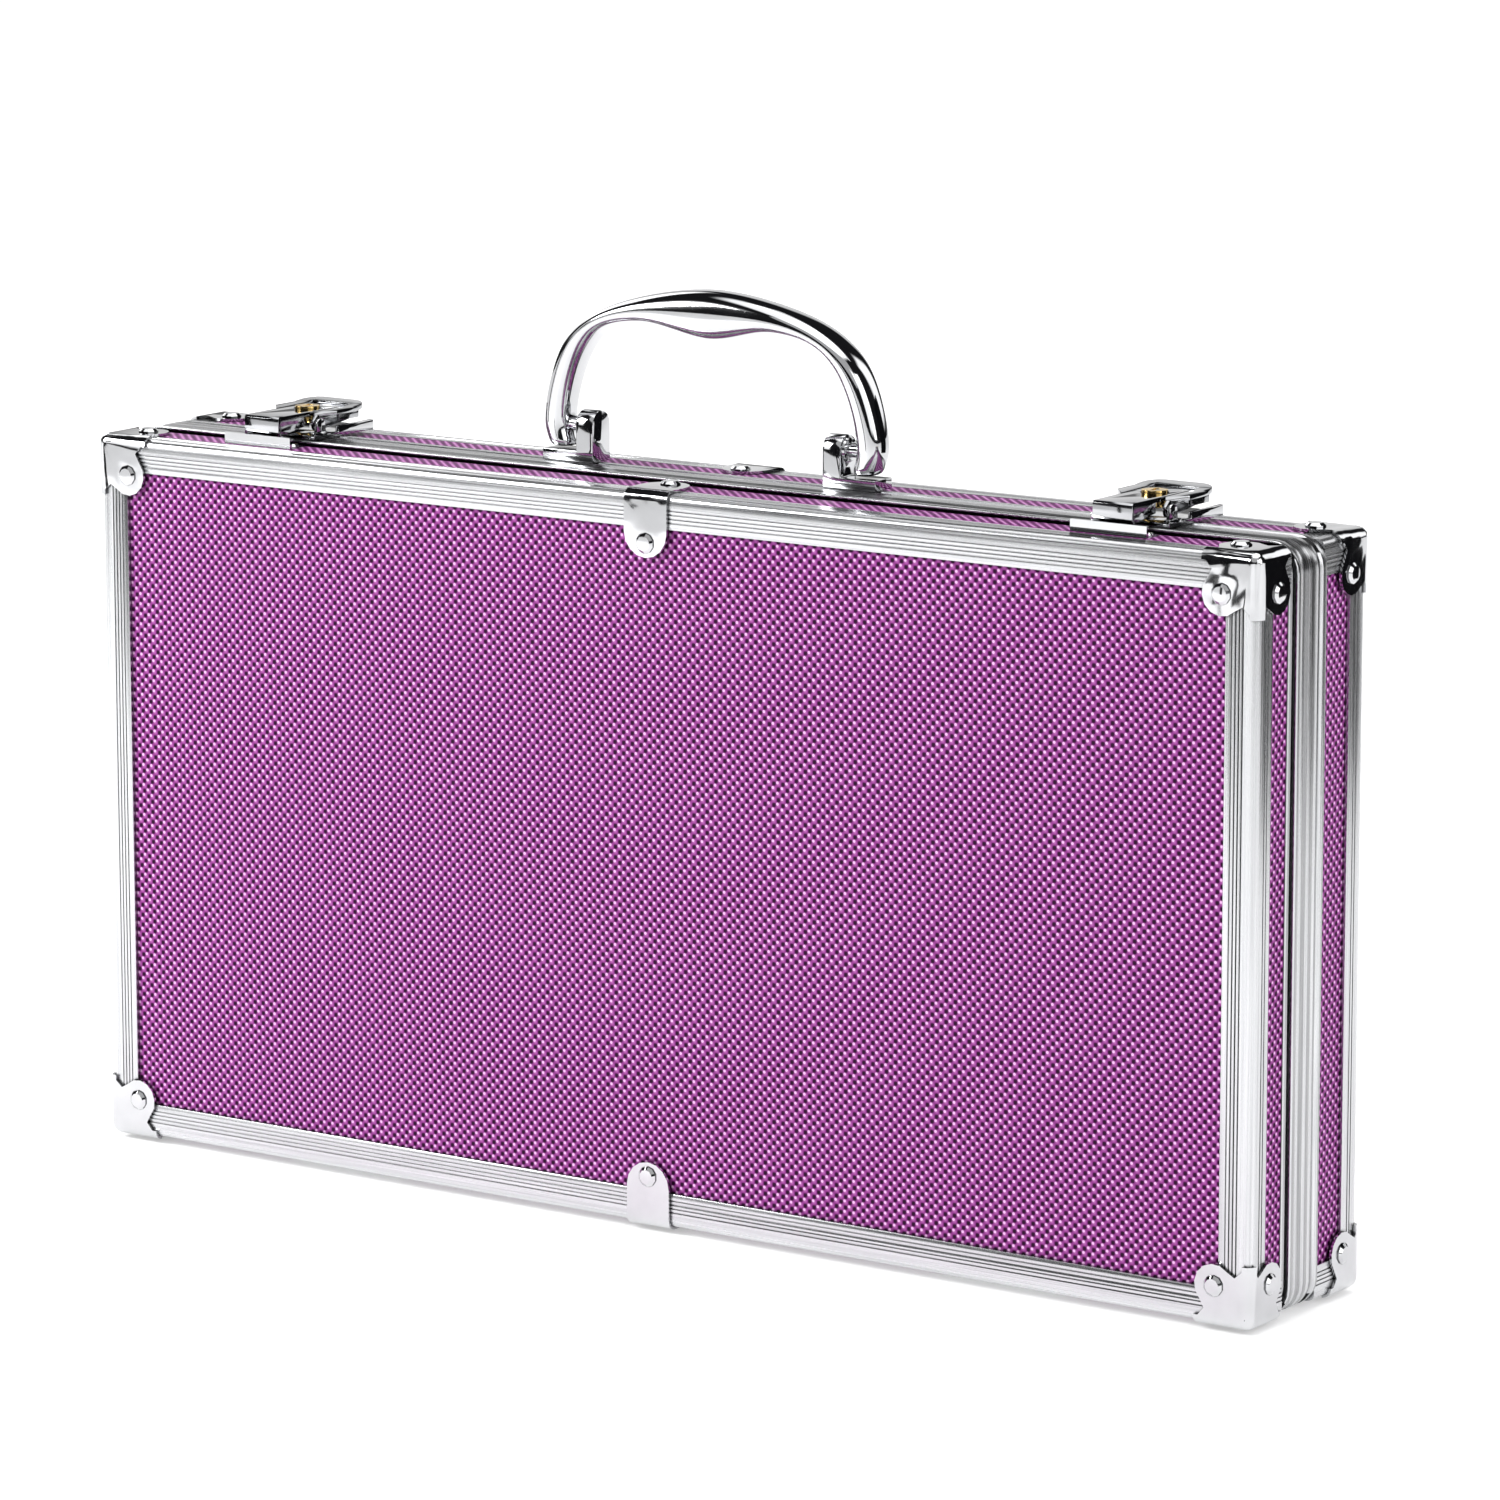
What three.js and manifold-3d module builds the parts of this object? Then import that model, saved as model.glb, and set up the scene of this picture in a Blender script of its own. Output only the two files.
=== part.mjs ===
// Poker chip case: two shallow shells of skinned board in aluminium edging, a hinged lid, two
// locking draw latches, a folding carrying handle and a fitted chip insert.
// Millimetres. X runs along the case, Y from the lid to the back, Z up. The case stands on its
// hinge side, and the origin is on the floor under its middle.
import * as THREE from 'three';
import { mergeVertices } from 'three/addons/utils/BufferGeometryUtils.js';
import Module from 'manifold-3d';

const wasm = await Module();
wasm.setup();

// ---- driving dimensions ----

// The shells, measured over the aluminium edging
const width = 380;
const height = 202;
const depth = 55;
const lidDepth = 16.4;          // front face to the free edge of the lid's walls
const board = 3;                // skinned board of the panels and walls
const seat = 0.1;               // gap left between pieces that rest on each other

// Edging along the rim of each big face
const edgeGauge = 0.9;
const edgeFaceLeg = 9.5;
const lidSideLeg = 7.4;
const bodySideLeg = 8.5;
const edgeRadius = 2;
const faceGrooves = [4.3, 5.4, 6.5, 7.6];
const sideGrooves = [4.2, 5.5];
const grooveWidth = 0.45;
const grooveDepth = 0.25;
const postLeg = 9.5;            // corner post, measured from the corner

// Rim profile that caps the body's walls
const rimGap = 1.5;             // lid's walls to the rim
const rimWidth = 15;
const rimProud = 1.2;
const rimRadius = 7;
const rimWeb = 1.3;
const rimLip = 8;
const rimUndercut = 0.9;        // shadow groove under the rim's front edge

// Seal on the lid's free edge
const sealWidth = 2.4;
const sealInset = 1.4;
const sealCrush = 1.1;

// Corner caps, clips and their rivets
const sheet = 0.8;
const capTip = 16.5;
const lobeRadius = 5.8;
const lobeFace = 10.4;          // rivet from both outer edges, on a big face
const lobeSideY = 8.8;          // rivet from the big face, on a side
const clipWidth = 14;
const clipFaceReach = 17.6;
const clipSideReach = 15;
const rivetRadius = 2.85;
const rivetHeight = 1.2;

// Handle and its brackets
const handleRise = 51.3;        // top of the grip above the edging
const handleHalf = 55.4;        // outer half width of the bow
const gripWidth = 13;
const legWidth = 9;
const legGauge = 7;
const pivotRise = 11.4;         // handle pivot above the edging
const pinRadius = 2;
const runClearance = 0.3;
const bracketInner = 38;
const bracketOuter = 55;
const bracketDepth = 8.3;
const postGauge = 5.7;
const footGauge = 3;
const bossRadius = 3.4;
const bossRise = 0.8;

// Latches
const latchX = 140;
const baseHalf = 12;
const keeperHalf = 11.6;
const hookHalf = 6;
const leverHalf = 11;
const slotWidth = 0.7;          // between the hook strip and the lever's wings
const latchRise = 8.3;          // top of the lever above the edging
const latchSheet = 1.2;
const leverPivot = 26;          // lever pivot from the lid's front face
const hookPivot = 39;
const latchEnd = 46;
const studRadius = 1.1;
const lockRadius = 3.5;
const lockFrom = 31.2;          // lock from the lid's front face
const cheekGauge = 1;
const tabRadius = 5.5;
const hookSwing = 2;            // room behind the pin for the hook strip to swing up
const boreClearance = 0.25;

// Hinges
const hingeX = 110;
const hingeLength = 40;
const knuckles = 3;
const barrelRadius = 1.6;
const hingePinRadius = 0.75;
const leafGauge = 0.8;
const leafReach = 9;
const knuckleGap = 0.15;        // at each end of a knuckle
const leafRivet = 1.8;

// Insert
const chipRadius = 20.3;
const chipWall = 1.8;           // between two channels
const insertFloor = 2.4;        // least thickness behind a channel
const bayHalf = 47;             // centre bay of the insert
const insertWall = 3;
const insertFront = 28;         // front face of the insert, from the lid's front face
const lidPad = 3;
const wells = [
  { width: 88, height: 64, depth: 18 },
  { width: 88, height: 64, depth: 18 },
  { width: 84, height: 18, depth: 16 },
  { width: 40, height: 20, depth: 16 },
];

// ---- places that follow from them ----

const front = -depth / 2;
const back = depth / 2;
const capRadius = edgeRadius + seat + sheet;
const standOff = sheet + rivetHeight + seat;
const bottom = standOff;
const top = standOff + height;
const middle = (bottom + top) / 2;
const wallOuter = edgeGauge + seat;
const wallInner = wallOuter + board;
const rimFront = front + lidDepth + rimGap;
const rimBack = rimFront + rimWidth;
const rimTop = top + rimProud;
const hingeY = front + lidDepth + 0.5;
const hingeZ = bottom - rimProud + barrelRadius - 0.7;

// ---- materials ----

const metal = (color, roughness) => new THREE.MeshStandardMaterial({ color, roughness, metalness: 1 });
const plain = (color, roughness) => new THREE.MeshStandardMaterial({ color, roughness, metalness: 0 });
const finish = {
  skin: () => plain(0x9a2f92, 0.45),
  aluminium: () => metal(0xd4d6d8, 0.35),
  chrome: () => metal(0xe6e8ea, 0.08),
  brass: () => metal(0xd9b25a, 0.25),
  seal: () => plain(0x0b0b0c, 0.7),
  foam: () => plain(0x17171a, 0.95),
};

// ---- geometry helpers ----

const part = new THREE.Group();

function add(name, geometry, material) {
  const mesh = new THREE.Mesh(geometry, material);
  mesh.name = name;
  part.add(mesh);
}

function toSolid(geometry) {
  const bare = geometry.clone();
  bare.deleteAttribute('normal');
  bare.deleteAttribute('uv');
  const merged = mergeVertices(bare, 1e-4);
  const mesh = new wasm.Mesh({
    numProp: 3,
    vertProperties: new Float32Array(merged.attributes.position.array),
    triVerts: new Uint32Array(merged.index.array),
  });
  return new wasm.Manifold(mesh);
}

function toGeometry(solid) {
  const mesh = solid.getMesh();
  const geometry = new THREE.BufferGeometry();
  geometry.setAttribute('position', new THREE.BufferAttribute(new Float32Array(mesh.vertProperties), 3));
  geometry.setIndex(new THREE.BufferAttribute(new Uint32Array(mesh.triVerts), 1));
  return geometry;
}

function join(pieces) {
  return pieces.reduce((sum, piece) => sum.add(piece));
}

// Moves a geometry into the frame of three axes, and turns its faces over if that mirrors it.
function place(geometry, origin, xAxis, yAxis, zAxis) {
  const axes = [xAxis, yAxis, zAxis].map((axis) => new THREE.Vector3(...axis));
  const matrix = new THREE.Matrix4().makeBasis(...axes).setPosition(...origin);
  const placed = mergeVertices(stripped(geometry), 1e-5);
  placed.applyMatrix4(matrix);
  if (matrix.determinant() < 0) {
    const index = placed.index.array;
    for (let i = 0; i < index.length; i += 3) {
      [index[i], index[i + 1]] = [index[i + 1], index[i]];
    }
  }
  return placed;
}

function stripped(geometry) {
  const bare = geometry.clone();
  bare.deleteAttribute('normal');
  bare.deleteAttribute('uv');
  return bare;
}

function box(x, y, z) {
  const geometry = new THREE.BoxGeometry(x[1] - x[0], y[1] - y[0], z[1] - z[0]);
  return geometry.translate((x[0] + x[1]) / 2, (y[0] + y[1]) / 2, (z[0] + z[1]) / 2);
}

const boxSolid = (x, y, z) => toSolid(box(x, y, z));

function shapeOf(outline) {
  return new THREE.Shape(outline.map(([x, y]) => new THREE.Vector2(x, y)));
}

// A flat outline drawn in two axes and carried along the third, from one place to another.
function slab(outline, from, to) {
  const geometry = new THREE.ExtrudeGeometry(shapeOf(outline), { depth: to - from, bevelEnabled: false });
  return geometry.translate(0, 0, from);
}

const alongX = (outline, x) => place(slab(outline, x[0], x[1]), [0, 0, 0], [0, 1, 0], [0, 0, 1], [1, 0, 0]);
const alongY = (outline, y) => place(slab(outline, y[0], y[1]), [0, 0, 0], [1, 0, 0], [0, 0, 1], [0, 1, 0]);
const alongZ = (outline, z) => slab(outline, z[0], z[1]);

function arc(cx, cy, radius, fromDeg, toDeg, steps) {
  const points = [];
  for (let i = 0; i <= steps; i += 1) {
    const angle = THREE.MathUtils.degToRad(fromDeg + ((toDeg - fromDeg) * i) / steps);
    points.push([cx + radius * Math.cos(angle), cy + radius * Math.sin(angle)]);
  }
  return points;
}

function roundedRect(halfX, halfY, radius, steps) {
  const [x, y] = [halfX - radius, halfY - radius];
  return [
    ...arc(x, -y, radius, -90, 0, steps),
    ...arc(x, y, radius, 0, 90, steps),
    ...arc(-x, y, radius, 90, 180, steps),
    ...arc(-x, -y, radius, 180, 270, steps),
  ];
}

function rod(radius, x, y, z, sides = 12) {
  const geometry = new THREE.CylinderGeometry(radius, radius, x[1] - x[0], sides);
  return geometry.rotateZ(Math.PI / 2).translate((x[0] + x[1]) / 2, y, z);
}

// Domed rivet head standing on a surface, with its axis along Z and its underside just below it.
function rivetHead(radius, rise, sink) {
  const shoulder = [radius * 0.72, rise * 0.85];
  const profile = [[0, -sink], [radius, -sink], [radius, rise * 0.3], shoulder, [0, rise]];
  const points = profile.map(([r, h]) => new THREE.Vector2(r, h));
  return new THREE.LatheGeometry(points, 10).rotateX(Math.PI / 2);
}

// ---- edging ----

// Straight run with small square grooves cut across it; `along` rises or falls, `point` lays it out.
function grooved(from, to, grooves, point) {
  const step = Math.sign(to - from);
  const inOrder = [...grooves].sort((a, b) => (a - b) * step);
  const cuts = inOrder.flatMap((at) => [
    point(at - (step * grooveWidth) / 2, 0),
    point(at - (step * grooveWidth) / 2, grooveDepth),
    point(at + (step * grooveWidth) / 2, grooveDepth),
    point(at + (step * grooveWidth) / 2, 0),
  ]);
  return [point(from, 0), ...cuts, point(to, 0)];
}

// Section of the angle edging: first axis in from the outer edge, second axis back from the face.
function edgeSection(sideLeg) {
  return [
    ...grooved(edgeFaceLeg, edgeRadius, faceGrooves, (at, cut) => [at, cut]),
    ...arc(edgeRadius, edgeRadius, edgeRadius, 270, 180, 4).slice(1, -1),
    ...grooved(edgeRadius, sideLeg, sideGrooves, (at, cut) => [cut, at]),
    [edgeGauge, sideLeg],
    [edgeGauge, edgeGauge],
    [edgeFaceLeg, edgeGauge],
  ];
}

// One length of edging, its ends mitred to meet its neighbours round the face.
function edgeBar(sideLeg, length) {
  const geometry = slab(edgeSection(sideLeg), -length / 2, length / 2);
  const position = geometry.attributes.position;
  for (let i = 0; i < position.count; i += 1) {
    const z = position.getZ(i);
    position.setZ(i, z - Math.sign(z) * (position.getX(i) + seat / 2));
  }
  return geometry;
}

const sides = [['left', -1], ['right', 1]];
const levels = [['bottom', -1], ['top', 1]];

// Calls back for each corner of a face with its name, its place and the directions in from it.
function eachCorner(face, inward, visit) {
  for (const [sideName, sx] of sides) {
    for (const [levelName, sz] of levels) {
      const corner = [(sx * width) / 2, face, middle + (sz * height) / 2];
      visit(`${levelName}_${sideName}`, corner, [[-sx, 0, 0], [0, inward, 0], [0, 0, -sz]]);
    }
  }
}

// What a square corner has more than a rounded one, at the four corners of a face
function cornerWaste(face, inward) {
  const reach = 2 * edgeFaceLeg;
  const square = boxSolid([-1, edgeRadius], [-1, reach - 1], [-1, edgeRadius]);
  const waste = toGeometry(square.subtract(roundedCorner(0, edgeRadius, reach)));
  const pieces = [];
  eachCorner(face, inward, (name, corner, axes) => {
    pieces.push(toSolid(place(waste, corner, ...axes)));
  });
  return join(pieces);
}

function addEdging(prefix, face, inward, sideLeg) {
  const waste = cornerWaste(face, inward);
  const runs = {
    top: { length: width, origin: [0, face, top], across: [0, 0, -1], along: [1, 0, 0] },
    bottom: { length: width, origin: [0, face, bottom], across: [0, 0, 1], along: [1, 0, 0] },
    left: { length: height, origin: [-width / 2, face, middle], across: [1, 0, 0], along: [0, 0, 1] },
    right: { length: height, origin: [width / 2, face, middle], across: [-1, 0, 0], along: [0, 0, 1] },
  };
  for (const [side, run] of Object.entries(runs)) {
    const bar = place(edgeBar(sideLeg, run.length), run.origin, run.across, [0, inward, 0], run.along);
    add(`${prefix}_edge_${side}`, toGeometry(toSolid(bar).subtract(waste)), finish.aluminium());
  }
}

// Corner post: a ribbed angle whose solid corner parts the ends of two walls.
function addPosts(prefix, y) {
  const block = rimRadius + seat;
  const section = [
    ...grooved(postLeg, edgeRadius, faceGrooves, (at, cut) => [at, cut]),
    ...arc(edgeRadius, edgeRadius, edgeRadius, 270, 180, 4).slice(1, -1),
    ...grooved(edgeRadius, postLeg, faceGrooves, (at, cut) => [cut, at]),
    [edgeGauge, postLeg],
    [edgeGauge, block],
    [wallInner, block],
    [block, block],
    [block, wallInner],
    [block, edgeGauge],
    [postLeg, edgeGauge],
  ];
  eachCorner(0, 1, (name, corner, [inX, inY, inZ]) => {
    const post = place(slab(section, y[0], y[1]), corner, inX, inZ, inY);
    add(`${prefix}_post_${name}`, post, finish.aluminium());
  });
}

// ---- panels and walls ----

function addShellBoards(prefix, panelY, wallY, notches) {
  const halfX = width / 2 - wallOuter;
  const halfZ = height / 2 - wallOuter;
  const panel = box([-halfX, halfX], panelY, [middle - halfZ, middle + halfZ]);
  add(`${prefix}_panel`, panel, finish.skin());
  const endX = width / 2 - rimRadius - 2 * seat;
  const endZ = height / 2 - rimRadius - 2 * seat;
  const walls = {
    top: [[-endX, endX], [top - wallInner, top - wallOuter]],
    bottom: [[-endX, endX], [bottom + wallOuter, bottom + wallInner]],
    left: [[wallOuter - width / 2, wallInner - width / 2], [middle - endZ, middle + endZ]],
    right: [[width / 2 - wallInner, width / 2 - wallOuter], [middle - endZ, middle + endZ]],
  };
  for (const [side, [x, z]] of Object.entries(walls)) {
    const wall = boxSolid(x, wallY, z);
    const cut = side === 'bottom' ? notches.reduce((solid, notch) => solid.subtract(notch), wall) : wall;
    add(`${prefix}_wall_${side}`, toGeometry(cut), finish.skin());
  }
}

// ---- rings round the mouth ----

// A section carried round a rectangle with round corners. Section points give the distance
// outward from the edging's outer face and the place along Y.
function ring(section, cornerSteps) {
  const stations = [];
  const centreX = width / 2 - rimRadius;
  const centreZ = height / 2 - rimRadius;
  for (const [sx, sz, start] of [[1, -1, -90], [1, 1, 0], [-1, 1, 90], [-1, -1, 180]]) {
    for (const [nx, nz] of arc(0, 0, 1, start, start + 90, cornerSteps)) {
      stations.push({ x: sx * centreX, z: middle + sz * centreZ, nx, nz });
    }
  }
  const positions = [];
  for (const { x, z, nx, nz } of stations) {
    for (const [out, y] of section) {
      positions.push(x + nx * (rimRadius + out), y, z + nz * (rimRadius + out));
    }
  }
  const index = [];
  const points = section.length;
  for (let i = 0; i < stations.length; i += 1) {
    const next = (i + 1) % stations.length;
    for (let j = 0; j < points; j += 1) {
      const [a, b] = [i * points + j, i * points + ((j + 1) % points)];
      const [c, d] = [next * points + j, next * points + ((j + 1) % points)];
      index.push(a, b, c, b, d, c);
    }
  }
  const geometry = new THREE.BufferGeometry();
  geometry.setAttribute('position', new THREE.BufferAttribute(new Float32Array(positions), 3));
  geometry.setIndex(index);
  return geometry;
}

const hingeCentres = [['left', -hingeX], ['right', hingeX]];

// Room for the hinge barrels, cut from whatever edge they sit between
function hingeRooms() {
  const half = hingeLength / 2 + 0.5;
  const reach = barrelRadius + runClearance;
  return hingeCentres.map(([, x]) => boxSolid(
    [x - half, x + half],
    [hingeY - reach, hingeY + reach],
    [hingeZ - 4 * reach, hingeZ + reach],
  ));
}

function addRim() {
  const under = -(wallOuter - seat);
  const pocket = -(wallInner + seat);
  const inside = pocket - rimWeb;
  const outer = (t) => rimFront + t * rimWidth;
  const section = [
    [inside, rimFront],
    [-wallOuter - rimUndercut, rimFront],
    [-wallOuter, rimFront + rimUndercut],
    [rimProud - 0.6, rimFront],
    [rimProud - 0.2, rimFront],
    [rimProud, outer(0.03)],
    [rimProud, outer(0.1)],
    [rimProud - 0.35, outer(0.16)],
    [rimProud - 0.35, outer(0.28)],
    [rimProud, outer(0.34)],
    [rimProud, outer(0.68)],
    [rimProud - 0.6, outer(0.7)],
    [rimProud - 0.6, outer(0.8)],
    [rimProud, outer(0.84)],
    [rimProud, outer(0.97)],
    [rimProud - 0.4, rimBack],
    [under, rimBack],
    [under, rimFront + rimWeb],
    [pocket, rimFront + rimWeb],
    [pocket, rimFront + rimLip],
    [inside, rimFront + rimLip],
  ];
  let solid = toSolid(ring(section, 6));
  for (const room of hingeRooms()) {
    solid = solid.subtract(room);
  }
  const half = hingeLength / 2 + 0.5;
  for (const [, x] of hingeCentres) {
    const recess = boxSolid(
      [x - half, x + half],
      [rimFront - 1, rimFront + leafReach + 0.5],
      [bottom - rimProud - 1, bottom - rimProud + leafGauge + 0.2],
    );
    solid = solid.subtract(recess);
  }
  add('body_rim', toGeometry(solid), finish.aluminium());
}

function addSeal() {
  const seatY = front + lidDepth + seat;
  const outer = -(wallOuter + sealInset - 1);
  const inner = outer - sealWidth;
  const section = [[inner, seatY], [outer, seatY], [outer, seatY + sealCrush], [inner, seatY + sealCrush]];
  add('lid_seal', ring(section, 6), finish.seal());
}

// ---- corner caps ----

// Outline of one sheet leaf of a cap: two tips along the outer edges and a round lobe between.
function capLeaf(lobeA, lobeB, tipA, tipB) {
  const edge = -(sheet + 2);
  return [
    [edge, edge],
    [tipA, edge],
    [tipA, 0.4],
    [lobeA + lobeRadius * 0.5, lobeB - lobeRadius * 1.08],
    ...arc(lobeA, lobeB, lobeRadius, -45, 135, 7),
    [lobeA - lobeRadius * 1.08, lobeB + lobeRadius * 0.5],
    [0.4, tipB],
    [edge, tipB],
  ];
}

// Corner of a block with every edge and the corner itself rounded, grown outward by `grow`.
function roundedCorner(grow, radius, reach) {
  const centre = radius - grow;
  const ball = new THREE.SphereGeometry(radius, 12, 8).translate(centre, centre, centre);
  const solids = [toSolid(ball)];
  const span = reach - centre;
  const bar = () => new THREE.CylinderGeometry(radius, radius, span, 12);
  solids.push(toSolid(bar().translate(centre, centre + span / 2, centre)));
  solids.push(toSolid(bar().rotateZ(Math.PI / 2).translate(centre + span / 2, centre, centre)));
  solids.push(toSolid(bar().rotateX(Math.PI / 2).translate(centre, centre, centre + span / 2)));
  const from = centre - radius;
  solids.push(boxSolid([from, reach], [centre, reach], [centre, reach]));
  solids.push(boxSolid([centre, reach], [from, reach], [centre, reach]));
  solids.push(boxSolid([centre, reach], [centre, reach], [from, reach]));
  return join(solids);
}

// One pressed cap at a corner, in axes that run in from that corner: across, deep and up.
function capGeometry() {
  const reach = capTip + 6;
  const shell = roundedCorner(sheet + seat, capRadius, reach)
    .subtract(roundedCorner(seat, edgeRadius + seat, reach + 1));
  const skin = [-sheet - seat - 1, edgeRadius];
  const faceLeaf = toSolid(alongY(capLeaf(lobeFace, lobeFace, capTip, capTip), skin));
  const topLeaf = toSolid(alongZ(capLeaf(lobeFace, lobeSideY, capTip, lobeSideY + lobeRadius), skin));
  const sideLeaf = toSolid(alongX(capLeaf(lobeSideY, lobeFace, lobeSideY + lobeRadius, capTip), skin));
  const leaves = join([faceLeaf, topLeaf, sideLeaf]);
  const head = rivetHead(rivetRadius, rivetHeight, sheet * 0.5);
  const surface = -(sheet + seat);
  const rivets = [
    place(head, [lobeFace, surface, lobeFace], [1, 0, 0], [0, 0, 1], [0, -1, 0]),
    place(head, [lobeFace, lobeSideY, surface], [1, 0, 0], [0, -1, 0], [0, 0, -1]),
    place(head, [surface, lobeSideY, lobeFace], [0, 1, 0], [0, 0, -1], [-1, 0, 0]),
  ];
  return toGeometry(join([shell.intersect(leaves), ...rivets.map(toSolid)]));
}

function addCaps(prefix, face, inward, cap) {
  eachCorner(face, inward, (name, corner, axes) => {
    add(`${prefix}_cap_${name}`, place(cap, corner, ...axes), finish.chrome());
  });
}

// ---- clips over the edging at mid length ----

// A strap bent over the edging, in axes that run across it, in from the face and in from the edge.
function clipGeometry() {
  const half = clipWidth / 2;
  const lift = sheet + seat;
  const strap = toSolid(alongX([
    ...arc(capRadius - lift, capRadius - lift, capRadius, 270, 180, 4),
    [-lift, clipFaceReach],
    [-seat, clipFaceReach],
    ...arc(capRadius - lift, capRadius - lift, capRadius - sheet, 180, 270, 4),
    [clipSideReach, -seat],
    [clipSideReach, -lift],
  ], [-half, half]));
  const tongue = (reach) => [
    [-half, -3],
    [half, -3],
    ...arc(0, reach - half, half, 0, 180, 8),
  ];
  const faceTongue = toSolid(alongY(tongue(clipFaceReach), [-lift - 1, 1]));
  const sideTongue = toSolid(alongZ(tongue(clipSideReach), [-lift - 1, 1]));
  const head = rivetHead(rivetRadius, rivetHeight, sheet * 0.5);
  const rivets = [
    place(head, [0, -lift, clipFaceReach - 4], [1, 0, 0], [0, 0, 1], [0, -1, 0]),
    place(head, [0, clipSideReach - 4, -lift], [1, 0, 0], [0, -1, 0], [0, 0, -1]),
  ];
  return toGeometry(join([strap.intersect(join([faceTongue, sideTongue])), ...rivets.map(toSolid)]));
}

function addClips(prefix, face, inward, clip) {
  for (const [levelName, sz] of levels) {
    const edge = [0, face, middle + (sz * height) / 2];
    const placed = place(clip, edge, [1, 0, 0], [0, inward, 0], [0, 0, -sz]);
    add(`${prefix}_clip_${levelName}`, placed, finish.chrome());
  }
}

// ---- handle ----

const handleY = (rimFront + rimBack) / 2 + 6.4;
const pivotZ = top + pivotRise;

// Outer and inner edges of the bow, from the left foot over the grip to the right foot.
function bowCurves() {
  const rise = (share) => top + handleRise * share;
  const foot = pivotZ - 6.2;
  const leg = handleHalf - legGauge;
  const half = (x, z) => [x * handleHalf, z];
  const outer = [half(0.965, foot), half(1, pivotZ), half(0.962, rise(0.46)), half(0.87, rise(0.67)),
    half(0.72, rise(0.81)), half(0.48, rise(0.92)), [0, rise(1)]];
  const inner = [[leg - 2, foot], [leg - 0.6, pivotZ], [leg - 2.6, rise(0.45)], [leg - 7.6, rise(0.65)],
    half(0.62, rise(0.755)), half(0.38, rise(0.8)), [0, rise(0.735)]];
  const curve = (list) => {
    const right = list.map(([x, z]) => new THREE.Vector3(x, 0, z));
    const left = right.slice(0, -1).map((p) => new THREE.Vector3(-p.x, 0, p.z)).reverse();
    return new THREE.CatmullRomCurve3([...right, ...left], false, 'centripetal');
  };
  return [curve(outer), curve(inner)];
}

function handleGeometry() {
  const [outer, inner] = bowCurves();
  const stations = 36;
  const facets = 10;
  const positions = [];
  for (let i = 0; i <= stations; i += 1) {
    const t = i / stations;
    const a = outer.getPoint(t);
    const b = inner.getPoint(t);
    const swell = Math.sin(Math.PI * t) ** 2;
    const end = Math.min(1, 0.6 + 12 * Math.min(t, 1 - t));
    const halfY = ((legWidth + (gripWidth - legWidth) * swell) / 2) * end;
    const centre = a.clone().add(b).multiplyScalar(0.5);
    const half = a.clone().sub(b).multiplyScalar(0.5 * end);
    for (let j = 0; j < facets; j += 1) {
      const angle = (2 * Math.PI * j) / facets;
      const squared = (value) => Math.sign(value) * Math.abs(value) ** 0.8;
      const c = squared(Math.cos(angle));
      const s = squared(Math.sin(angle));
      positions.push(centre.x + half.x * c, handleY + halfY * s, centre.z + half.z * c);
    }
  }
  const index = [];
  for (let i = 0; i < stations; i += 1) {
    for (let j = 0; j < facets; j += 1) {
      const k = (j + 1) % facets;
      const [p, q, r, s] = [i * facets + j, i * facets + k, (i + 1) * facets + j, (i + 1) * facets + k];
      index.push(p, q, r, q, s, r);
    }
  }
  for (let j = 1; j < facets - 1; j += 1) {
    index.push(0, j + 1, j);
    const last = stations * facets;
    index.push(last, last + j, last + j + 1);
  }
  const geometry = new THREE.BufferGeometry();
  geometry.setAttribute('position', new THREE.BufferAttribute(new Float32Array(positions), 3));
  geometry.setIndex(index);
  return geometry;
}

// The pivot pins reach this far out from the middle of the case, inside the legs.
const pinEnd = handleHalf - 3;

function addHandle() {
  let solid = toSolid(handleGeometry());
  for (const sx of [-1, 1]) {
    const span = [sx * (bracketInner + postGauge), sx * (pinEnd + runClearance)].sort((a, b) => a - b);
    solid = solid.subtract(toSolid(rod(pinRadius + runClearance, span, handleY, pivotZ)));
  }
  add('handle', toGeometry(solid), finish.chrome());
}

// Handle bracket: an L of cast metal with its post on the inside and the pivot pin across it.
function addBrackets() {
  const base = rimTop + seat;
  const y = [handleY - bracketDepth / 2, handleY + bracketDepth / 2];
  const outline = [
    [y[0], base],
    [y[1], base],
    [y[1], pivotZ],
    ...arc(handleY, pivotZ, bracketDepth / 2, 0, 180, 8).slice(1, -1),
    [y[0], pivotZ],
  ];
  for (const [side, sx] of sides) {
    const span = (from, to) => [sx * from, sx * to].sort((a, b) => a - b);
    const post = toSolid(alongX(outline, span(bracketInner, bracketInner + postGauge)));
    const foot = boxSolid(span(bracketInner, bracketOuter), y, [base, base + footGauge]);
    const pin = toSolid(rod(pinRadius, span(bracketInner + postGauge - 1, pinEnd), handleY, pivotZ));
    const bossSpan = span(bracketInner + postGauge - 1, bracketInner + postGauge + bossRise);
    const boss = toSolid(rod(bossRadius, bossSpan, handleY, pivotZ));
    add(`handle_bracket_${side}`, toGeometry(join([post, foot, pin, boss])), finish.chrome());
  }
}

// ---- latches ----

const across = (half) => [-half, half];
const around = (centre, half) => [centre - half, centre + half];
const plateY = (from, to) => [front + from, front + to];
const leverTop = top + latchRise;
const leverUnder = leverTop - latchSheet;
const baseUnder = rimTop + seat;
const baseTop = baseUnder + latchSheet;
const studZ = baseTop + 2.1;
const cheekInner = hookHalf + slotWidth;
const earInner = cheekInner + cheekGauge + runClearance;
const hookZ = leverTop - studRadius - 0.9;

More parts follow.
